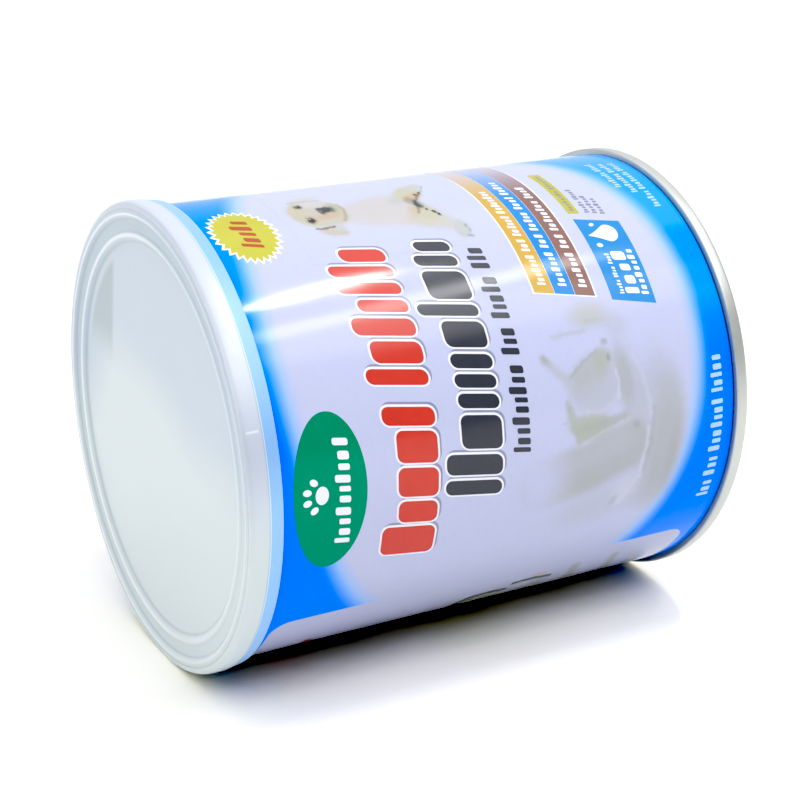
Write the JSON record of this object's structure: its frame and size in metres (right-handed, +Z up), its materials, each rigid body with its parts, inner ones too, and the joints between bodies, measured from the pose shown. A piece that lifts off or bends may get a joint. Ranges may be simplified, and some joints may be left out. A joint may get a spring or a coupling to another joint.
{
  "type": "puppy milk powder tin",
  "caption": "Round printed steel tin of milk powder for puppies, lying on its side, with seamed ends and a clear plastic overcap.",
  "frame": {"origin": "on the surface that the tin lies on, under the middle of its length", "axes": "+X along the tin from the overcap to the bottom end, +Z up, -Y out of the side with the front of the print"},
  "size_m": [0.121, 0.1022, 0.1018],
  "materials": {
    "cap_plastic": "milky clear polyethylene with a soft sheen",
    "tinplate": "bright rolled tinplate",
    "printed_wall": "glossy varnished print, lilac white with bright blue ends"
  },
  "bodies": {
    "root": {"lid": "cap_plastic", "top_end": "tinplate", "body": "printed_wall", "bottom_end": "tinplate"}
  },
  "joints": []
}
